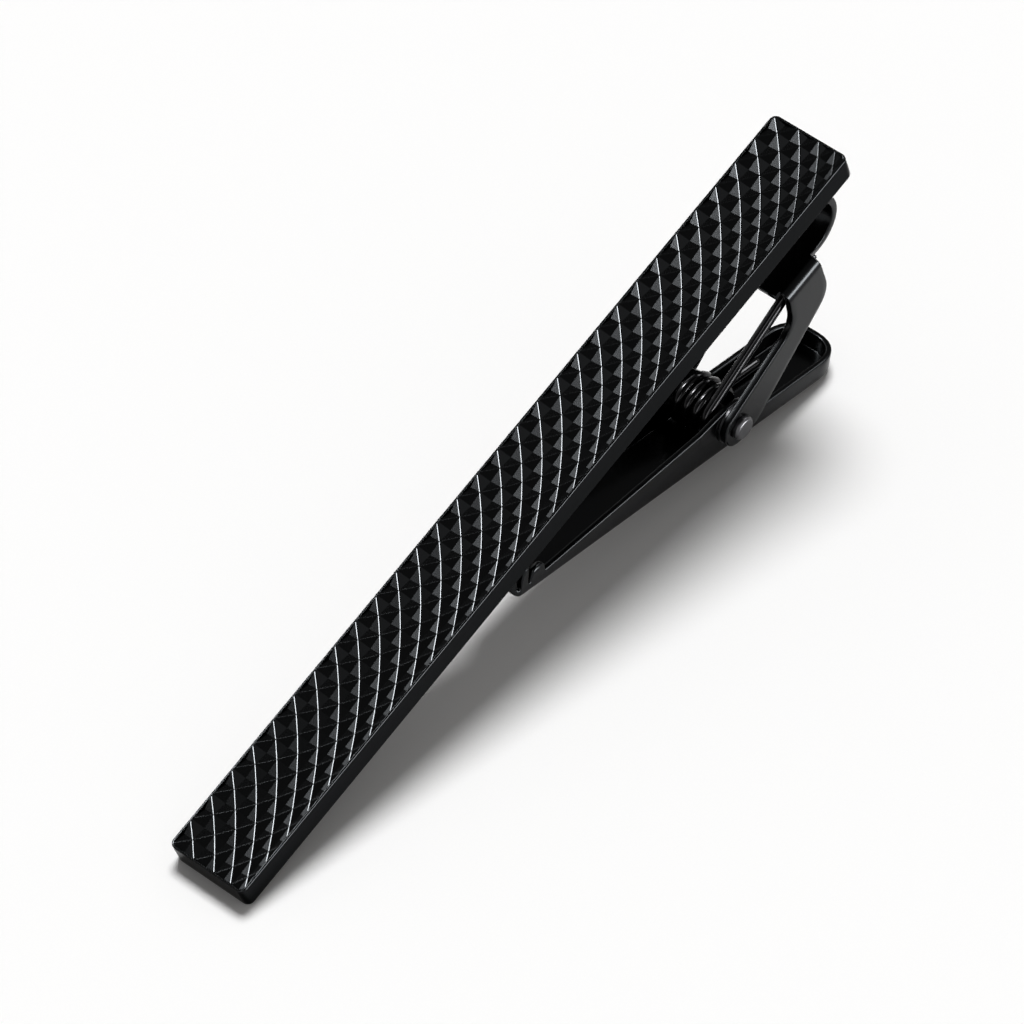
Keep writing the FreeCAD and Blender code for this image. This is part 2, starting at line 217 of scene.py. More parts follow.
# The plating's grain: how far it varies the roughness, and the ripple that it gives the surface.
GRAIN_DETAIL = 3.0
GRAIN_ROUGHER = 1.07
GRAIN_SMOOTHER = 0.93
RIPPLE_STRENGTH = 0.01
RIPPLE_DEPTH = 0.01 * MM

# Size of the grain in millimetres on each finish, and how rolling draws it out along the sheet.
POLISHED_GRAIN = 0.3
FACE_GRAIN = 0.15
SHEET_GRAIN = 0.2
FINE_GRAIN = 0.12
EVEN = (1, 1, 1)
ROLLED = (0.4, 1, 1)


def plated_metal(name, tint, roughness, shine, grain, stretch=EVEN):
    """Black nickel: a dark metal that is nearly black face on and bright along edges that mirror a light.
    Noise of the plating's grain, in millimetres, varies the roughness and ripples the surface a little."""
    material = bpy.data.materials.new(name)
    material.use_nodes = True
    tree = material.node_tree
    shader = tree.nodes["Principled BSDF"]
    shader.inputs["Base Color"].default_value = tuple(tint) + (1.0,)
    shader.inputs["Metallic"].default_value = 1.0
    shader.inputs["Specular Tint"].default_value = (shine, shine, shine, 1.0)
    place = add(tree, "ShaderNodeTexCoord")
    laid = add(
        tree, "ShaderNodeMapping", {"Rotation": (0, LEAN, 0), "Scale": stretch},
        {"Vector": place.outputs["Object"]})
    noise = add(
        tree, "ShaderNodeTexNoise", {"Scale": 1 / (grain * MM), "Detail": GRAIN_DETAIL},
        {"Vector": laid.outputs["Vector"]})
    spread = {"To Min": roughness * GRAIN_SMOOTHER, "To Max": roughness * GRAIN_ROUGHER}
    rough = add(tree, "ShaderNodeMapRange", spread, {"Value": noise.outputs["Fac"]})
    tree.links.new(rough.outputs["Result"], shader.inputs["Roughness"])
    ripple = add(
        tree, "ShaderNodeBump", {"Strength": RIPPLE_STRENGTH, "Distance": RIPPLE_DEPTH},
        {"Height": noise.outputs["Fac"]})
    tree.links.new(ripple.outputs["Normal"], shader.inputs["Normal"])
    return material


def on_bar(points):
    """Points set out from the pivot along the bar and square to its back, at the clip's rest lean."""
    cos, sin = math.cos(LEAN), math.sin(LEAN)
    lean = np.array([[cos, 0, -sin], [0, 1, 0], [sin, 0, cos]])
    return np.asarray(points) @ lean.T + PIVOT


def on_lever(points):
    """Points set out from the lever's tip along its floor, at the lever's angle to the bar."""
    cos, sin = math.cos(LEVER_TURN), math.sin(LEVER_TURN)
    turn = np.array([[cos, 0, sin], [0, 1, 0], [-sin, 0, cos]])
    return on_bar((np.asarray(points) - LEVER_PIVOT) @ turn.T)


def mix(first, last, part):
    """Points on the way from the first to the last: the first times one less the part, plus the last times
    the part."""
    return first * (1 - part) + last * part


def rounded_line(corners, step):
    """A line through corners (a, b, radius) in millimetres: straight runs joined by arcs that touch both
    runs, each cut down to half of the shorter run, with a point about every step along the arcs."""
    points = np.array([corner[:2] for corner in corners]) * MM
    line = [points[:1]]
    for before, here, after, corner in zip(points, points[1:], points[2:], corners[1:]):
        runs = np.linalg.norm(before - here), np.linalg.norm(after - here)
        back, ahead = (before - here) / runs[0], (after - here) / runs[1]
        half_turn = math.acos(np.clip(-back @ ahead, -1, 1)) / 2
        cut = min(corner[2] * MM * math.tan(half_turn), min(runs) / 2)
        if cut < TINY:
            line.append(here[None])
            continue
        radius = cut / math.tan(half_turn)
        middle = (back + ahead) / np.linalg.norm(back + ahead)
        centre = here + middle * math.hypot(cut, radius)
        first, last = here + back * cut - centre, here + ahead * cut - centre
        begin = math.atan2(first[1], first[0])
        sweep = (math.atan2(last[1], last[0]) - begin + math.pi) % (2 * math.pi) - math.pi
        turn = begin + sweep * np.linspace(0, 1, 2 + math.ceil(abs(sweep) * radius / (step * MM)))
        line.append(centre + radius * np.stack([np.cos(turn), np.sin(turn)], -1))
    return np.concatenate(line + [points[-1:]])


def evenly(line, count):
    """A line cut into even steps by its length."""
    along = np.concatenate([[0], np.cumsum(np.linalg.norm(np.diff(line, axis=0), axis=1))])
    wanted = np.linspace(0, along[-1], count)
    return np.stack([np.interp(wanted, along, line[:, k]) for k in range(line.shape[1])], -1)


def quads(rows, columns, wrapped=False, turned=False):
    """The faces of a grid of points, rows by columns, closed across its columns where wrapped."""
    index = np.arange(rows * columns).reshape(rows, columns)
    if wrapped:
        index = np.concatenate([index, index[:, :1]], 1)
    faces = np.stack([index[:-1, :-1], index[1:, :-1], index[1:, 1:], index[:-1, 1:]], -1).reshape(-1, 4)
    return faces[:, ::-1] if turned else faces


def build_mesh(name, patches, caps=()):
    """One mesh of several patches (points, faces), merged where they meet, with flat faces over its ends."""
    starts = np.cumsum([0] + [len(points) for points, faces in patches])
    points = np.concatenate([points for points, faces in patches])
    faces = [face for start, (_, patch) in zip(starts, patches) for face in (patch + start).tolist()]
    mesh = bpy.data.meshes.new(name)
    mesh.from_pydata(points.tolist(), [], faces + [list(map(int, cap)) for cap in caps])
    work = bmesh.new()
    work.from_mesh(mesh)
    bmesh.ops.remove_doubles(work, verts=work.verts, dist=MERGE)
    bmesh.ops.dissolve_degenerate(work, edges=work.edges, dist=MERGE)
    bmesh.ops.recalc_face_normals(work, faces=work.faces)
    work.to_mesh(mesh)
    work.free()
    mesh.shade_smooth()
    return mesh


def closed_tube(name, rings):
    """A mesh through rings of points, set out from the pivot, with a flat face over each end."""
    count, sides = rings.shape[:2]
    caps = [np.arange(sides)[::-1], (count - 1) * sides + np.arange(sides)]
    faces = quads(count, sides, wrapped=True, turned=True)
    return build_mesh(name, [(on_bar(rings.reshape(-1, 3)), faces)], caps)


def place_piece(mesh, material, node):
    """Puts a mesh into the scene in place of a node."""
    piece = bpy.data.objects.new(mesh.name, mesh)
    bpy.context.collection.objects.link(piece)
    mesh.materials.append(material)
    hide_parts(node)
    return piece


BEVEL_SEGMENTS = 3
FLATNESS = 100

# Which way a sheet gets its thickness, and where along the clip the rounding of its edges starts.
BOTH_WAYS = 0
INWARDS = -1
EVERYWHERE = -math.inf
PAST_TEETH = -1 * MM


def even_shading(piece):
    """Keeps flat faces flat beside their rounded edges."""
    shading = piece.modifiers.new("shading", "WEIGHTED_NORMAL")
    shading.weight = FLATNESS


def sheet_metal(piece, gauge, edge, offset, start):
    """Gives a sheet its thickness and rounds its cut edges, those with a face on one side only, past a place
    along the clip."""
    mesh = piece.data
    sides = np.empty(len(mesh.loops), np.int32)
    ends = np.empty(len(mesh.edges) * 2, np.int32)
    points = np.empty(len(mesh.vertices) * 3, np.float32)
    mesh.loops.foreach_get("edge_index", sides)
    mesh.edges.foreach_get("vertices", ends)
    mesh.vertices.foreach_get("co", points)
    cut = np.bincount(sides, minlength=len(mesh.edges)) == 1
    along = points[::3][ends].reshape(-1, 2).min(1)
    weight = mesh.attributes.new("bevel_weight_edge", "FLOAT", "EDGE")
    weight.data.foreach_set("value", (cut & (along > start)).astype(np.float32))
    wall = piece.modifiers.new("gauge", "SOLIDIFY")
    wall.thickness = gauge
    wall.offset = offset
    wall.use_even_offset = True
    bevel = piece.modifiers.new("edges", "BEVEL")
    bevel.width = edge
    bevel.segments = BEVEL_SEGMENTS
    bevel.limit_method = "WEIGHT"
    bevel.use_clamp_overlap = False
    even_shading(piece)


BAR_EDGE_POINTS = 7
BAR_CORNER_POINTS = 13


class TIECLIP_OT_bar(bpy.types.Operator):
    """Builds the bar with its rounded edges and its pocket"""

    bl_idname = "tieclip.bar"
    bl_label = "Bar"

    def execute(self, context):
        bar, finish = context.scene.clip_bar, context.scene.clip_finish
        section = self.section(bar)
        quarters = np.arange(4)[:, None] * math.pi / 2
        turn = np.linspace(0, QUARTER, BAR_CORNER_POINTS)[None] + quarters
        signs = np.array([[1, 1], [-1, 1], [-1, -1], [1, -1]])
        half = np.array([bar.length / 2, bar.width / 2])
        centres = signs * (half - bar.corner) + np.array([half[0], 0])
        arms = np.stack([np.cos(turn), np.sin(turn)], -1).reshape(-1, 2)
        radius = bar.corner - section[:, :1, None]
        plan = np.repeat(centres, BAR_CORNER_POINTS, 0)[None] + radius * arms[None]
        level = np.broadcast_to(section[:, 1, None, None], plan.shape[:2] + (1,))
        mesh = closed_tube("bar_shell", np.concatenate([plan, level], -1) + BAR_ORIGIN)
        metal = plated_metal(
            "black nickel, polished", finish.plating, finish.polish, finish.lacquer, POLISHED_GRAIN)
        piece = place_piece(mesh, metal, "bar")
        even_shading(piece)
        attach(piece, "bar")
        return {"FINISHED"}

    def section(self, bar):
        """The bar's edge as (inset, level) points: quarter circles at the back and the front, then the lip
        and the pocket's wall."""
        quarter = np.linspace(0, QUARTER, BAR_EDGE_POINTS)
        back = bar.back_edge * np.stack([1 - np.sin(quarter), 1 - np.cos(quarter)], -1)
        front = bar.front_edge * np.stack([1 - np.cos(quarter), np.sin(quarter) - 1], -1)
        front = np.array([0, bar.thickness]) + front
        pocket = np.array([
            [bar.lip - bar.lip_break, bar.thickness],
            [bar.lip, bar.thickness - bar.lip_break],
            [bar.lip, bar.thickness - bar.pocket]])
        return np.concatenate([back, front, pocket])


def face_grid(face, bar):
    """Grid of the diamond face: points whose indices add up to an even number are crest crossings at the
    bar's front, and those between are sunk by a share of their row's height. Rows shrink by a fixed share."""
    top = bar.width / 2 - face.edge
    drop = bar.width - face.edge - bar.lip
    count = math.ceil(math.log(1 - drop * (1 - face.row_share) / face.first_row) / math.log(face.row_share))
    first = -math.ceil(2 * face.start / face.pitch) - 1
    last = math.ceil(2 * (bar.length - face.start) / face.pitch) + 1
    column, row = np.meshgrid(np.arange(first, last + 1), np.arange(-1, count + 2), indexing="ij")
    y = top - face.first_row * (1 - face.row_share ** row) / (1 - face.row_share)
    odd = (column + row) % 2
    level = bar.thickness - odd * face.depth_share * face.first_row * face.row_share ** np.maximum(row - 1, 0)
    return np.stack([face.start + column * face.pitch / 2, y, level], -1), odd == 0


def face_facets(even):
    """Two facets for each cell of the grid, split along the crest, and the ends of the crests that rise and
    of those that fall along the bar."""
    index = np.arange(even.size).reshape(even.shape)
    a, b, c, d = index[:-1, :-1], index[1:, :-1], index[1:, 1:], index[:-1, 1:]
    level = even[:-1, :-1, None]
    one = np.where(level, np.stack([a, c, b], -1), np.stack([a, d, b], -1))
    two = np.where(level, np.stack([a, d, c], -1), np.stack([b, d, c], -1))
    fall = np.stack([a, c], -1)[even[:-1, :-1]]
    rise = np.stack([b, d], -1)[~even[:-1, :-1]]
    return np.concatenate([one, two]).reshape(-1, 3), rise, fall


FACE_CUTS = 24


class TIECLIP_OT_face(bpy.types.Operator):
    """Builds the pressed diamond face with rounded crests, cut to the bar's pocket"""

    bl_idname = "tieclip.face"
    bl_label = "Diamond face"

    def execute(self, context):
        face, bar, finish = context.scene.clip_face, context.scene.clip_bar, context.scene.clip_finish
        shape = self.press(context, face, bar)
        self.trim(shape, face, bar)
        shape.name = "diamond_face"
        shape.shade_flat()
        metal = plated_metal(
            "black nickel, pressed face", finish.plating, finish.polish, finish.lacquer, FACE_GRAIN)
        piece = place_piece(shape, metal, "face_plate")
        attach(piece, "bar")
        return {"FINISHED"}

    def press(self, context, face, bar):
        """The facets with their crests rounded, the rising ones more than the falling ones."""
        points, even = face_grid(face, bar)
        facets, *crests = face_facets(even)
        mesh = bpy.data.meshes.new("face_blank")
        mesh.from_pydata(points.reshape(-1, 3).tolist(), [], facets.tolist())
        ends = np.empty(len(mesh.edges) * 2, np.int32)
        mesh.edges.foreach_get("vertices", ends)
        edges, rise, fall = (np.sort(pair.reshape(-1, 2), 1) @ [even.size, 1] for pair in (ends, *crests))
        weights = np.isin(edges, rise) + face.fall_share * np.isin(edges, fall)
        weight = mesh.attributes.new("bevel_weight_edge", "FLOAT", "EDGE")
        weight.data.foreach_set("value", weights.astype(np.float32))
        blank = bpy.data.objects.new("face_blank", mesh)
        context.collection.objects.link(blank)
        bevel = blank.modifiers.new("crests", "BEVEL")
        bevel.limit_method = "WEIGHT"
        bevel.width = face.crest
        bevel.segments = BEVEL_SEGMENTS
        shape = bpy.data.meshes.new_from_object(blank.evaluated_get(context.evaluated_depsgraph_get()))
        bpy.data.objects.remove(blank)
        return shape

    def trim(self, shape, face, bar):
        """Cuts the face to the pocket by planes round its edge, gives it walls and a back, and sets it on the
        bar."""
        work = bmesh.new()
        work.from_mesh(shape)
        middle = Vector((bar.length / 2, 0, 0))
        straight = Vector((bar.length / 2 - bar.corner, bar.width / 2 - bar.corner, 0))
        corner = bar.corner - bar.lip - face.clearance
        for turn in np.arange(FACE_CUTS) * 2 * math.pi / FACE_CUTS:
            outward = Vector((math.cos(turn), math.sin(turn), 0))
            reach = straight.x * abs(outward.x) + straight.y * abs(outward.y) + corner
            bmesh.ops.bisect_plane(
                work, geom=work.verts[:] + work.edges[:] + work.faces[:], dist=MERGE,
                plane_co=middle + outward * reach, plane_no=outward, clear_outer=True)
        border = [edge for edge in work.edges if edge.is_boundary]
        wall = bmesh.ops.extrude_edge_only(work, edges=border)["geom"]
        foot = [item for item in wall if isinstance(item, bmesh.types.BMVert)]
        floor = Matrix.Translation((0, 0, bar.pocket - bar.thickness))
        bmesh.ops.scale(work, verts=foot, vec=(1, 1, 0), space=floor)
        bmesh.ops.holes_fill(work, edges=[edge for edge in work.edges if edge.is_boundary])
        bmesh.ops.recalc_face_normals(work, faces=work.faces)
        lean = Matrix.Rotation(-LEAN, 4, "Y")
        work.transform(Matrix.Translation(PIVOT) @ lean @ Matrix.Translation(BAR_ORIGIN))
        work.to_mesh(shape)
        work.free()


# Places on the bracket along the bar, seen from the pivot, in millimetres.
FOOT_END = 5.35
WEB_END = 6.4
EAR_FRONT = 6.8
EAR_BACK = 10.05
HAIRPIN_CENTRE = 10.85

# An ear's outline from its back to its front, seen from the side: along the bar, up, and corner radius.
EAR_TOP = 5.67
EAR_LINE = (
    (EAR_BACK, EAR_TOP, 0), (EAR_BACK, 2.67, 1.9), (1.35, -1.42, 2.0), (-1.42, -1.42, 1.42),
    (-1.42, 1.17, 1.2), (6.5, 3.16, 1.8), (EAR_FRONT, EAR_TOP, 0),
)
EAR_STEP = 0.08
EAR_TIP_BIAS = 0.05
EAR_ROWS = 72
EAR_COLUMNS = 8
EAR_BEND_POINTS = 13
HAIRPIN_POINTS = 41
STRIP_COLUMNS = 7


class TIECLIP_OT_bracket(bpy.types.Operator):
    """Folds the hinge bracket: a hairpin strip with an ear bent down on each side"""

    bl_idname = "tieclip.bracket"
    bl_label = "Hinge bracket"

    def execute(self, context):
        bracket, finish = context.scene.clip_bracket, context.scene.clip_finish
        columns = np.linspace(EAR_FRONT, EAR_BACK, EAR_COLUMNS) * MM
        path = self.strip_path(bracket, columns)
        web = path[-1, 1]
        y = np.linspace(-bracket.half_width, bracket.half_width, STRIP_COLUMNS)
        strip = np.stack(np.broadcast_arrays(path[:, None, 0], y[None], path[:, None, 1]), -1)
        patches = [(on_bar(strip.reshape(-1, 3)), quads(len(path), len(y)))]
        ear = self.ear_flank()
        bend = np.linspace(0, QUARTER, EAR_BEND_POINTS)[:, None]
        bend_radius = bracket.ear_bend + bracket.gauge / 2
        side = bracket.half_width + bend_radius * np.sin(bend) + 0 * columns
        drop = web - bend_radius * (1 - np.cos(bend)) + 0 * columns
        for sign in (-1, 1):
            fold = np.stack([np.broadcast_to(columns, side.shape), sign * side, drop], -1)
            flank = np.stack([ear[..., 0], np.full(ear.shape[:2], sign * side[-1, 0]), ear[..., 1]], -1)
            whole = np.concatenate([fold, flank[1:]])
            patches.append((on_bar(whole.reshape(-1, 3)), quads(len(whole), len(columns), turned=sign > 0)))
        mesh = build_mesh("bracket_sheet", patches)
        metal = plated_metal(
            "black nickel, stamped strip", finish.plating, finish.stamping, finish.strip_shine,
            SHEET_GRAIN, ROLLED)
        piece = place_piece(mesh, metal, "hinge_bracket")
        sheet_metal(piece, bracket.gauge, bracket.edge, BOTH_WAYS, EVERYWHERE)
        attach(piece, "bar")
        return {"FINISHED"}

    def strip_path(self, bracket, columns):
        """Middle of the strip, seen from the side: the foot on the bar's back, the half circle of the
        hairpin, and the web with a point at each column of the ears."""
        top = BAR_ORIGIN[2]
        middle = bracket.gauge / 2
        radius = bracket.hairpin - middle
        turn = np.linspace(QUARTER, -QUARTER, HAIRPIN_POINTS)
        level = top - bracket.hairpin + radius * np.sin(turn)
        hairpin = np.stack([HAIRPIN_CENTRE * MM + radius * np.cos(turn), level], -1)
        along = np.concatenate([columns[::-1], [WEB_END * MM]])
        web = np.stack([along, np.full(len(along), level[-1])], -1)
        return np.concatenate([[[FOOT_END * MM, top - middle]], hairpin, web])

    def ear_flank(self):
        """Grid of one ear, seen from the side: rows run between its front and back edges, down to its tip."""
        edge = rounded_line(EAR_LINE, EAR_STEP)
        split = int(np.argmin(edge[:, 0] + EAR_TIP_BIAS * np.abs(edge[:, 1])))
        back, front = evenly(edge[:split + 1], EAR_ROWS), evenly(edge[split:][::-1], EAR_ROWS)
        across = np.linspace(0, 1, EAR_COLUMNS)[None, :, None]
        return mix(front[:, None], back[:, None], across)


# Top of the lever's wall from the tip to the tab, seen from the side: along the floor, up, and corner radius.
WALL_TOP = (
    (0, 3.319, 0), (0.4, 3.525, 0), (0.42, 0.8, 0.12), (0.8, 0.8, 0.12), (0.97, 2.6, 0.4), (1.28, 2.6, 0.4),
    (1.45, 0.9, 0.12), (1.73, 0.9, 0.12), (1.9, 1.88, 0.4), (2.91, 1.88, 0.4), (3.08, 1.07, 0.12),
    (18.2, 3.0, 1.5), (20.75, 3.75, 1.1), (22.25, 3.75, 1.1), (24.7, 1.65, 1.0), (33.3, 1.65, 0),
)
WALL_STEP = 0.06
WALL_ROWS = 3
TAB_POWER = 2.5
PLAN_POINTS = 33
FILLET_POINTS = 9
FLOOR_COLUMNS = 9
STATION_DIGITS = 8


def lever_plan(lever, u):
    """Half the lever's width at each place along it, and the way inwards, square to the plan. The plan runs
    along the nose's round corner, the straight side and the tab's end, an ellipse made a little fuller by a
    power over two."""
    tab = lever.reach - lever.tab_round
    corner = np.sqrt(np.maximum(lever.nose_corner ** 2 - np.maximum(lever.nose_corner - u, 0) ** 2, 0))
    past = np.clip((u - tab) / lever.tab_round, 0, 1)
    end = (1 - past ** TAB_POWER) ** (1 / TAB_POWER)
    end[-1] = 0
    wide = np.where(u < tab, lever.half_width - lever.nose_corner + corner, lever.half_width * end)
    nose = np.stack([np.maximum(lever.nose_corner - u, 0), -corner], -1)
    slope = TAB_POWER - 1
    heel = -np.stack([past ** slope / lever.tab_round, end ** slope / lever.half_width], -1)
    inward = np.where((u < tab)[:, None], nose, heel)
    return wide, inward / np.linalg.norm(inward, axis=1, keepdims=True)


def lever_walls(lever):
    """Rows of the lever's side wall, from its top down into the floor. The floor's rounding is carried
    inwards along the plan's normal, and near the tip the floor lifts on an arc."""
    top = rounded_line(WALL_TOP, WALL_STEP)
    top[:, 0] = np.maximum.accumulate(top[:, 0] + TINY * np.arange(len(top)))
    turn = np.linspace(0, QUARTER, PLAN_POINTS)
    nose = lever.nose_corner * (1 - np.cos(turn))
    tab = lever.reach - lever.tab_round + lever.tab_round * np.sin(turn)
    stations = np.concatenate([top[:, 0], nose, tab])
    u = np.unique(np.round(stations[stations <= lever.reach], STATION_DIGITS))
    height = np.interp(u, top[:, 0], top[:, 1])
    wide, inward = lever_plan(lever, u)
    soft = np.clip(u / lever.tip, 0, 1)
    fillet = lever.tip_fillet + (lever.fillet - lever.tip_fillet) * soft ** 2 * (3 - 2 * soft)
    turn = np.linspace(0, QUARTER, FILLET_POINTS)
    inset = np.concatenate([np.zeros(WALL_ROWS), 1 - np.cos(turn)])[None] * fillet[:, None]
    at = u[:, None] + inward[:, :1] * inset
    half = np.maximum(wide[:, None] + inward[:, 1:] * inset, 0)
    lift = lever.tip - np.sqrt(lever.tip ** 2 - np.maximum(lever.tip - at, 0) ** 2)
    low = lift[:, :1] + fillet[:, None]
    fall = np.linspace(1, 0, WALL_ROWS + 1)[None, :WALL_ROWS]
    wall = mix(low, np.maximum(height[:, None], low), fall)
    z = np.concatenate([wall, lift[:, WALL_ROWS:] + fillet[:, None] * (1 - np.sin(turn))], 1)
    return at, half, z


class TIECLIP_OT_lever(bpy.types.Operator):
    """Presses the lever: a tray whose walls carry the teeth, the pivot humps and the tab's rim"""

    bl_idname = "tieclip.lever"
    bl_label = "Clip lever"

    def execute(self, context):
        lever, finish = context.scene.clip_lever, context.scene.clip_finish
        at, half, z = lever_walls(lever)
        rows, columns = at.shape
        near, far = np.stack([at, -half, z], -1), np.stack([at, half, z], -1)
        across = np.linspace(0, 1, FLOOR_COLUMNS)[:, None]
        floor = mix(near[:, -1, None], far[:, -1, None], across)
        front = mix(near[0, :, None], far[0, :, None], across)
        patches = [(on_lever(near.reshape(-1, 3)), quads(rows, columns, turned=True)),
                   (on_lever(far.reshape(-1, 3)), quads(rows, columns)),
                   (on_lever(floor.reshape(-1, 3)), quads(rows, len(across), turned=True)),
                   (on_lever(front.reshape(-1, 3)), quads(columns, len(across), turned=True))]
        mesh = build_mesh("lever_tray", patches)
        metal = plated_metal(
            "black nickel, pressed tray", finish.plating, finish.stamping, finish.tray_shine,
            SHEET_GRAIN, ROLLED)
        piece = place_piece(mesh, metal, "clip_lever")
        sheet_metal(piece, lever.gauge, lever.edge, INWARDS, PAST_TEETH)
        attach(piece, "lever")
        return {"FINISHED"}


# The rivet's outline from the near head to the far end: radius, place along its axis, and corner radius.
RIVET_LINE = (
    (0, -3.43, 0), (0.7, -3.43, 0.16), (0.85, -3.25, 0.12), (0.85, -2.98, 0.03), (0.6, -2.98, 0),
    (0.6, 2.98, 0), (0.85, 2.98, 0.03), (0.84, 3.2, 0.15), (0.6, 3.43, 0.15), (0, 3.43, 0),
)
RIVET_STEP = 0.03
RIVET_SIDES = 64


class TIECLIP_OT_rivet(bpy.types.Operator):
    """Turns the pivot rivet and finishes the two spacers"""

    bl_idname = "tieclip.rivet"
    bl_label = "Rivet and spacers"

    def execute(self, context):
        finish = context.scene.clip_finish
        line = rounded_line(RIVET_LINE, RIVET_STEP)
        turn = np.linspace(0, 2 * math.pi, RIVET_SIDES, endpoint=False)
        radius, y = line[:, None, 0], line[:, None, 1] + 0 * turn
        points = np.stack([radius * np.cos(turn), y, radius * np.sin(turn)], -1)
        faces = quads(len(line), len(turn), wrapped=True)
        mesh = build_mesh("rivet_pin", [(on_bar(points.reshape(-1, 3)), faces)])
        metal = plated_metal(
            "black nickel, headed pin", finish.rivet, finish.heading, finish.bare_shine, FINE_GRAIN)
        piece = place_piece(mesh, metal, "pivot_rivet")
        even_shading(piece)
        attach(piece, "bar")
        for node in ("near_spacer", "far_spacer"):
            frame["nodes"][node].data.materials.clear()
            frame["nodes"][node].data.materials.append(metal)
        return {"FINISHED"}


# Where the spring's legs end, seen from the pivot: along and up to the web's underside, and along the lever
# and down to its floor. Then the place of the coil's first turn along the rivet.
WEB_SEAT = np.array([10.5, 5.9]) * MM
FLOOR_SEAT = np.array([7.4, -1.93]) * MM
COIL_START = -1.28 * MM
COIL_EASE = 0.5
COIL_STEPS = 56
LEG_POINTS = 24
WIRE_SIDES = 24
TIP_RINGS = 5
TIP_DRAW = 0.25


def spring_line(spring):
    """Middle of the wire: a straight leg, a helix and a straight leg, with the angle that turns the wire's
    section. The angle stands still along the legs, and the climb eases in and out of the helix."""
    half = spring.wire / 2
    web = WEB_SEAT - np.array([0, half])
    seat = FLOOR_SEAT + np.array([0, half])
    cos, sin = math.cos(LEVER_TURN), math.sin(LEVER_TURN)
    floor = np.array([seat[0] * cos + seat[1] * sin, seat[1] * cos - seat[0] * sin])
    start = math.atan2(web[1], web[0]) + math.acos(spring.radius / np.hypot(*web))
    stop = math.atan2(floor[1], floor[0]) - math.acos(spring.radius / np.hypot(*floor))
    sweep = (stop - start) % (2 * math.pi) + 2 * math.pi * spring.turns
    run = np.linspace(0, sweep, COIL_STEPS * (spring.turns + 1) + 1)
    climb = np.where(run < COIL_EASE, run ** 2 / (2 * COIL_EASE), run - COIL_EASE / 2)
    slowing = sweep - COIL_EASE - (sweep - run) ** 2 / (2 * COIL_EASE)
    climb = np.where(run > sweep - COIL_EASE, slowing, climb)
    y = climb * spring.pitch / (2 * math.pi) + COIL_START
    turn = start + run
    coil = np.stack([spring.radius * np.cos(turn), y, spring.radius * np.sin(turn)], -1)
    part = np.linspace(0, 1, LEG_POINTS, endpoint=False)[:, None]
    upper = np.array([web[0], y[0] - spring.splay, web[1]])
    lower = np.array([floor[0], y[-1], floor[1]])
    line = np.concatenate([mix(upper, coil[0], part), coil, mix(lower, coil[-1], part[::-1])])
    return line, np.concatenate([np.full(LEG_POINTS, turn[0]), turn, np.full(LEG_POINTS, turn[-1])])


def wire_surface(line, turn, radius, sides):
    """A round wire: circles about the line, set out along the coil's radius and square to it, drawn in a
    little over the last rings at both ends."""
    heading = np.gradient(line, axis=0)
    heading /= np.linalg.norm(heading, axis=1, keepdims=True)
    out = np.stack([np.cos(turn), np.zeros_like(turn), np.sin(turn)], -1)
    beside = np.cross(heading, out)
    beside /= np.linalg.norm(beside, axis=1, keepdims=True)
    out = np.cross(beside, heading)
    around = np.arange(sides) * 2 * math.pi / sides
    ring = out[:, None] * np.cos(around)[None, :, None] + beside[:, None] * np.sin(around)[None, :, None]
    tip = np.linspace(0, QUARTER, TIP_RINGS)
    back = TIP_DRAW * radius * (1 - np.sin(tip))
    inset = 1 - TIP_DRAW * (1 - np.cos(tip[::-1]))
    first = line[0] + heading[0] * (back[0] - back)[:, None]
    last = (line[-1] - heading[-1] * (back[0] - back)[:, None])[::-1]
    centre = np.concatenate([first, line[1:-1], last])
    scale = np.concatenate([inset, np.ones(len(line) - 2), inset[::-1]]) * radius
    first_rings, last_rings = np.repeat(ring[:1], TIP_RINGS, 0), np.repeat(ring[-1:], TIP_RINGS, 0)
    ring = np.concatenate([first_rings, ring[1:-1], last_rings])
    return centre[:, None] + ring * scale[:, None, None]


class TIECLIP_OT_spring(bpy.types.Operator):
    """Winds the torsion spring between the bracket's web and the lever's floor"""

    bl_idname = "tieclip.spring"
    bl_label = "Torsion spring"

    def execute(self, context):
        spring, finish = context.scene.clip_spring, context.scene.clip_finish
        line, turn = spring_line(spring)
        mesh = closed_tube("spring_wire", wire_surface(line, turn, spring.wire / 2, WIRE_SIDES))
        metal = plated_metal(
            "blackened spring steel, drawn", finish.wire, finish.drawing, finish.bare_shine, FINE_GRAIN)
        piece = place_piece(mesh, metal, "torsion_spring")
        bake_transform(piece)
        return {"FINISHED"}


# Studio panels: name, power in watts, width and height in metres, azimuth, elevation and roll in degrees.
PANELS = (
    ("far window", 54.0, 0.28, 0.49, -16.5, 50.6, 40),
    ("window sill", 1.2, 0.42, 0.3, -11.8, 39.2, 0),
    ("far strip", 8.0, 2.0, 0.3, 12, 25, 0),
    ("near strip", 110.0, 1.8, 0.65, 167, 11, 0),
    ("top panel", 0.38, 0.4, 0.4, 84, 71, 0),
    ("right panel", 13.0, 0.8, 0.35, 100, 40, 0),
    ("left strip", 12.0, 0.5, 1.9, -108, 33, 0),
)
PANEL_DISTANCE = 2.0

# The overhead light: the way to it, how far off it hangs, and how wide it looks, in degrees.
SUN_WAY = Vector((0.25, 0.2, 0.93))
SUN_DISTANCE = 1.0
SUN_WIDTH = 24

# The paper: half its width in metres, the size of its fibres, and how dark and how matt it is.
PAPER_HALF = 6.0
FIBRE = 0.14 * MM
FIBRE_DETAIL = 2.0
FIBRE_SHADE = 0.97
PAPER_ROUGHNESS = 0.95

# Where the white horizon gives way to the ceiling, as heights on a sphere of radius one.
HORIZON_TOP = 0.05
CEILING_FOOT = 0.3

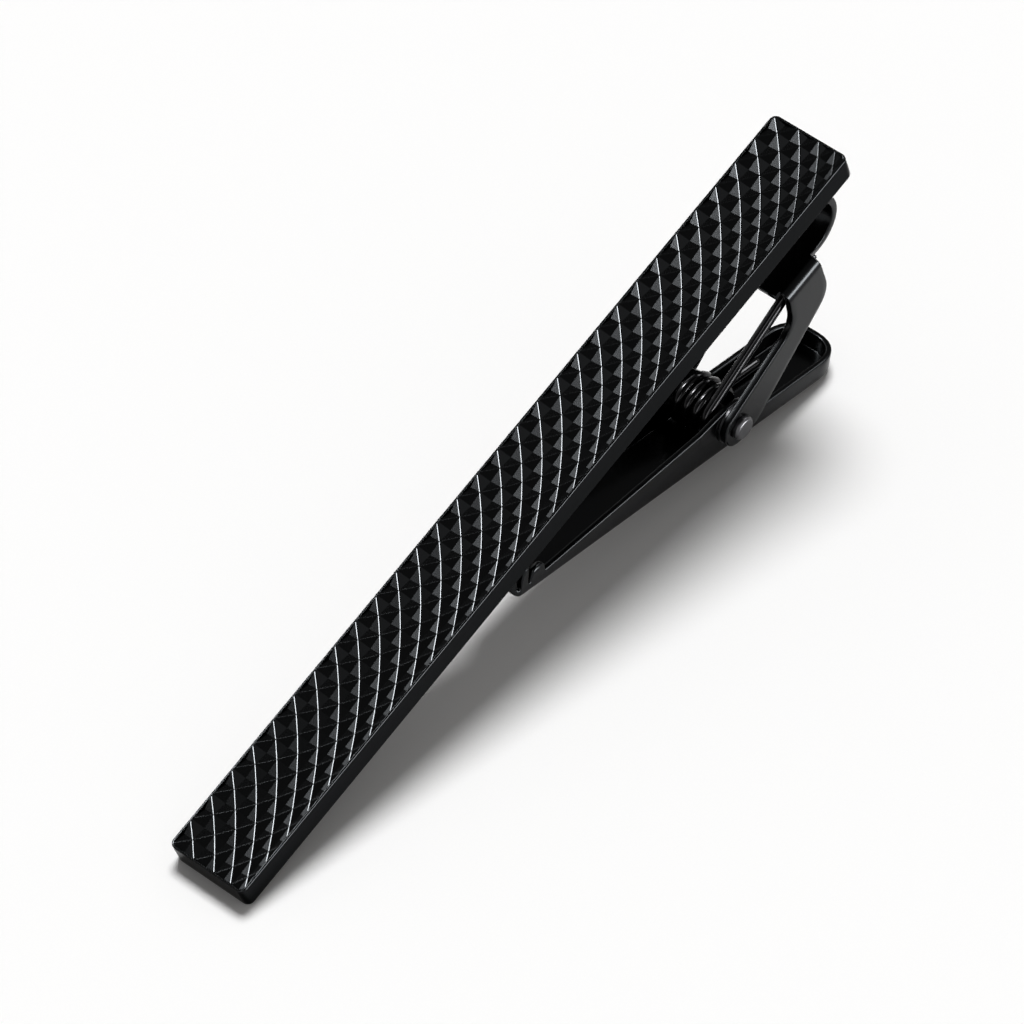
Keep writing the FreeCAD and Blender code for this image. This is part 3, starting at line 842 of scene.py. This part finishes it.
# The camera: the point that it looks at, its sensor's width in millimetres, and how far it sees.
CAMERA_TARGET = Vector((0.2743, 1.023, 8.0996)) * MM
SENSOR_WIDTH = 36.0
SIGHT = 100.0


class TIECLIP_OT_stage(bpy.types.Operator):
    """Lays the white paper and sets the lights and the camera"""

    bl_idname = "tieclip.stage"
    bl_label = "Stage"

    def execute(self, context):
        stage = context.scene.clip_stage
        self.paper(context)
        self.world(context, stage)
        self.lamps(context, stage)
        self.camera(context, stage)
        context.scene.view_settings.view_transform = "Standard"
        return {"FINISHED"}

    def paper(self, context):
        """A wide sheet of matt white paper, faintly mottled by its fibres."""
        tint = np.array(context.scene.clip_finish.paper)
        material = bpy.data.materials.new("white paper, matt")
        material.use_nodes = True
        tree = material.node_tree
        shader = tree.nodes["Principled BSDF"]
        shader.inputs["Roughness"].default_value = PAPER_ROUGHNESS
        shader.inputs["Specular IOR Level"].default_value = 0.0
        place = add(tree, "ShaderNodeTexCoord")
        fibre = add(
            tree, "ShaderNodeTexNoise", {"Scale": 1 / FIBRE, "Detail": FIBRE_DETAIL},
            {"Vector": place.outputs["Object"]})
        tone = add(tree, "ShaderNodeMix", links={"Factor": fibre.outputs["Fac"]}, data_type="RGBA")
        tone.inputs["A"].default_value = tuple((tint * FIBRE_SHADE).tolist()) + (1.0,)
        tone.inputs["B"].default_value = tuple(tint.tolist()) + (1.0,)
        tree.links.new(tone.outputs["Result"], shader.inputs["Base Color"])
        corners = [(-1, -1, 0), (1, -1, 0), (1, 1, 0), (-1, 1, 0)]
        mesh = bpy.data.meshes.new("paper")
        mesh.from_pydata((np.array(corners) * PAPER_HALF).tolist(), [], [(0, 1, 2, 3)])
        mesh.materials.append(material)
        sheet = bpy.data.objects.new("paper", mesh)
        context.collection.objects.link(sheet)

    def world(self, context, stage):
        """A white horizon under a dim ceiling."""
        world = bpy.data.worlds.new("studio")
        context.scene.world = world
        world.use_nodes = True
        tree = world.node_tree
        back = tree.nodes["Background"]
        back.inputs["Color"].default_value = tuple(context.scene.clip_finish.sky) + (1.0,)
        place = add(tree, "ShaderNodeTexCoord")
        split = add(tree, "ShaderNodeSeparateXYZ", links={"Vector": place.outputs["Generated"]})
        fade = {"From Min": HORIZON_TOP, "From Max": CEILING_FOOT, "To Min": 1.0, "To Max": stage.ceiling}
        glow = add(
            tree, "ShaderNodeMapRange", fade, {"Value": split.outputs["Z"]}, interpolation_type="SMOOTHSTEP")
        tree.links.new(glow.outputs["Result"], back.inputs["Strength"])

    def lamps(self, context, stage):
        """A soft light overhead for the shadow and the panels that only the metal mirrors."""
        sun = bpy.data.lights.new("overhead", "SUN")
        sun.energy = stage.overhead
        sun.color = context.scene.clip_finish.lamp
        sun.angle = math.radians(SUN_WIDTH)
        self.aim(context, sun, SUN_WAY, SUN_DISTANCE).visible_glossy = False
        for name, watts, wide, tall, azimuth, elevation, roll in PANELS:
            lamp = bpy.data.lights.new(name, "AREA")
            lamp.shape = "RECTANGLE"
            lamp.size, lamp.size_y = wide, tall
            lamp.energy = watts * stage.panels
            turn, rise = math.radians(azimuth), math.radians(elevation)
            way = Vector((math.sin(turn) * math.cos(rise), math.cos(turn) * math.cos(rise), math.sin(rise)))
            self.aim(context, lamp, way, PANEL_DISTANCE, math.radians(roll)).visible_diffuse = False

    def aim(self, context, lamp, way, distance, roll=0.0):
        """Hangs a lamp in a direction from the clip, turns it to face the clip and rolls it about that
        direction."""
        holder = bpy.data.objects.new(lamp.name, lamp)
        holder.location = way.normalized() * distance
        holder.rotation_euler = (way.to_track_quat("Z", "Y") @ Quaternion((0, 0, 1), roll)).to_euler()
        context.collection.objects.link(holder)
        return holder

    def camera(self, context, stage):
        """A long lens from above the clip's near, free end."""
        lens = bpy.data.cameras.new("camera")
        lens.lens = stage.lens
        lens.sensor_width = SENSOR_WIDTH
        lens.clip_end = SIGHT
        cos, sin = math.cos(stage.azimuth), math.sin(stage.azimuth)
        level = math.cos(stage.elevation)
        back = Vector((sin * level, -cos * level, math.sin(stage.elevation)))
        right = Matrix.Rotation(stage.roll, 3, back) @ Vector((cos, sin, 0))
        turn = Matrix((right, back.cross(right), back)).transposed().to_4x4()
        holder = bpy.data.objects.new("camera", lens)
        holder.matrix_world = Matrix.Translation(CAMERA_TARGET + back * stage.distance) @ turn
        context.collection.objects.link(holder)
        context.scene.camera = holder


class TIECLIP_PT_panel(bpy.types.Panel):
    """Lists the clip's pieces and their sizes"""

    bl_idname = "TIECLIP_PT_panel"
    bl_label = "Tie clip"
    bl_space_type = "VIEW_3D"
    bl_region_type = "UI"
    bl_category = "Tie clip"

    def draw(self, context):
        for name, group in GROUPS.items():
            box = self.layout.box()
            for prop in group.__annotations__:
                box.prop(getattr(context.scene, name), prop)
        for operator in OPERATORS:
            self.layout.operator(operator.bl_idname)


GROUPS = {
    "clip_finish": ClipFinish, "clip_bar": BarSizes, "clip_face": FaceSizes, "clip_bracket": BracketSizes,
    "clip_lever": LeverSizes, "clip_spring": SpringSizes, "clip_stage": StageSettings,
}
OPERATORS = (
    TIECLIP_OT_stage, TIECLIP_OT_bar, TIECLIP_OT_face, TIECLIP_OT_bracket, TIECLIP_OT_lever,
    TIECLIP_OT_rivet, TIECLIP_OT_spring,
)


def register():
    for cls in (*GROUPS.values(), *OPERATORS, TIECLIP_PT_panel):
        bpy.utils.register_class(cls)
    for name, group in GROUPS.items():
        setattr(bpy.types.Scene, name, PointerProperty(type=group))


def unregister():
    for name in GROUPS:
        delattr(bpy.types.Scene, name)
    for cls in (TIECLIP_PT_panel, *reversed(OPERATORS), *reversed(GROUPS.values())):
        bpy.utils.unregister_class(cls)


def main():
    register()
    bpy.ops.tieclip.stage()
    bpy.ops.tieclip.bar()
    bpy.ops.tieclip.face()
    bpy.ops.tieclip.bracket()
    bpy.ops.tieclip.lever()
    bpy.ops.tieclip.rivet()
    bpy.ops.tieclip.spring()


if __name__ == "__main__":
    main()
